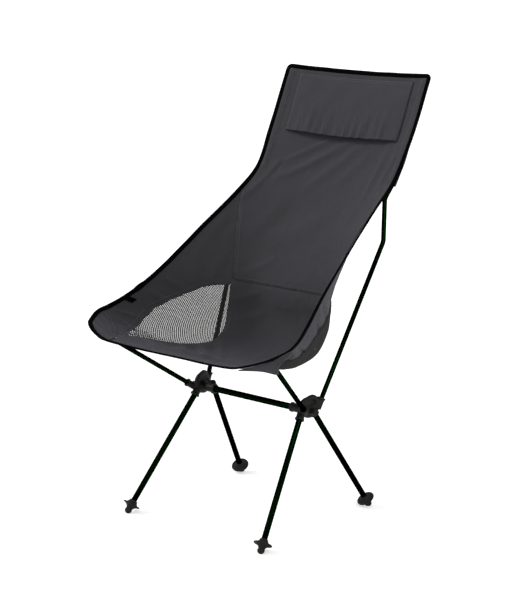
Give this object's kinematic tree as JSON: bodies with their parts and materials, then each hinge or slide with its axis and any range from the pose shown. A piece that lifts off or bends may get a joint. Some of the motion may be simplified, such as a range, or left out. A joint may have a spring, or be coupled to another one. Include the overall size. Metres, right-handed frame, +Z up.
{
  "type": "folding backpacking chair",
  "caption": "High-back camping chair: a sewn fabric bucket sling with mesh sides and a padded headrest, hung on shock-corded poles from a moulded hub frame with disc feet.",
  "frame": {"origin": "on the ground under the middle of the chair's bounding box", "axes": "+X to the chair's own drawing right, across the seat; +Y to the back; -Y is where the sitter faces; +Z up"},
  "size_m": [0.5608, 0.6814, 0.9814],
  "materials": {
    "sling_fabric": "matt plain-weave nylon",
    "mesh_fabric": "open diamond knit mesh",
    "binding_tape": "woven grosgrain tape",
    "pad_foam": "thin foam with a fleece face",
    "anodised_tube": "near-black green anodised, satin",
    "moulded_nylon": "fine moulded texture",
    "foot_rubber": "matt",
    "ferrule_alloy": "bare drawn tube",
    "elastic_cord": "braided cover"
  },
  "bodies": {
    "frame_and_sling": {"back_panel": "sling_fabric", "back_pole_lower_left": "anodised_tube", "back_pole_lower_right": "anodised_tube", "back_pole_middle_left": "anodised_tube", "back_pole_middle_right": "anodised_tube", "back_pole_tip_left": "moulded_nylon", "back_pole_tip_right": "moulded_nylon", "back_pole_upper_left": "anodised_tube", "back_pole_upper_right": "anodised_tube", "corner_patch_left": "sling_fabric", "corner_patch_right": "sling_fabric", "corner_pocket_left": "sling_fabric", "corner_pocket_right": "sling_fabric", "crossbar": "anodised_tube", "edge_binding": "binding_tape", "ferrule_lower_left": "ferrule_alloy", "ferrule_lower_right": "ferrule_alloy", "ferrule_upper_left": "ferrule_alloy", "ferrule_upper_right": "ferrule_alloy", "headrest_pad": "pad_foam", "headrest_pocket": "sling_fabric", "hub_left": "moulded_nylon", "hub_plug_left": "moulded_nylon", "hub_plug_right": "moulded_nylon", "hub_right": "moulded_nylon", "label_tab": "binding_tape", "mesh_panel_left": "mesh_fabric", "mesh_panel_right": "mesh_fabric", "pole_sleeve_left": "sling_fabric", "pole_sleeve_right": "sling_fabric", "seat_panel": "sling_fabric", "seat_pole_left": "anodised_tube", "seat_pole_right": "anodised_tube", "seat_pole_tip_left": "moulded_nylon", "seat_pole_tip_right": "moulded_nylon", "shock_cord_back_pole_left": "elastic_cord", "shock_cord_back_pole_right": "elastic_cord", "shock_cord_crossbar": "elastic_cord", "shock_cord_leg_front_left": "elastic_cord", "shock_cord_leg_front_right": "elastic_cord", "shock_cord_leg_rear_left": "elastic_cord", "shock_cord_leg_rear_right": "elastic_cord", "shock_cord_seat_pole_left": "elastic_cord", "shock_cord_seat_pole_right": "elastic_cord", "side_wing_left": "sling_fabric", "side_wing_right": "sling_fabric"},
    "leg_front_left_body": {"leg_front_left": "anodised_tube", "foot_front_left": "foot_rubber"},
    "leg_front_right_body": {"leg_front_right": "anodised_tube", "foot_front_right": "foot_rubber"},
    "leg_rear_left_body": {"leg_rear_left": "anodised_tube", "foot_rear_left": "foot_rubber"},
    "leg_rear_right_body": {"leg_rear_right": "anodised_tube", "foot_rear_right": "foot_rubber"}
  },
  "joints": [
    {"name": "leg_front_left_pull", "type": "slide", "parent": "frame_and_sling", "child": "leg_front_left_body", "axis": [-0.138, -0.597, -0.7903], "range_m": [0, 0.04], "stiffness_N_per_m": 100, "springref_m": -0.08},
    {"name": "leg_front_right_pull", "type": "slide", "parent": "frame_and_sling", "child": "leg_front_right_body", "axis": [0.138, -0.597, -0.7903], "range_m": [0, 0.04], "stiffness_N_per_m": 100, "springref_m": -0.08},
    {"name": "leg_rear_left_pull", "type": "slide", "parent": "frame_and_sling", "child": "leg_rear_left_body", "axis": [-0.1544, 0.5154, -0.8429], "range_m": [0, 0.04], "stiffness_N_per_m": 100, "springref_m": -0.08},
    {"name": "leg_rear_right_pull", "type": "slide", "parent": "frame_and_sling", "child": "leg_rear_right_body", "axis": [0.1544, 0.5154, -0.8429], "range_m": [0, 0.04], "stiffness_N_per_m": 100, "springref_m": -0.08}
  ]
}
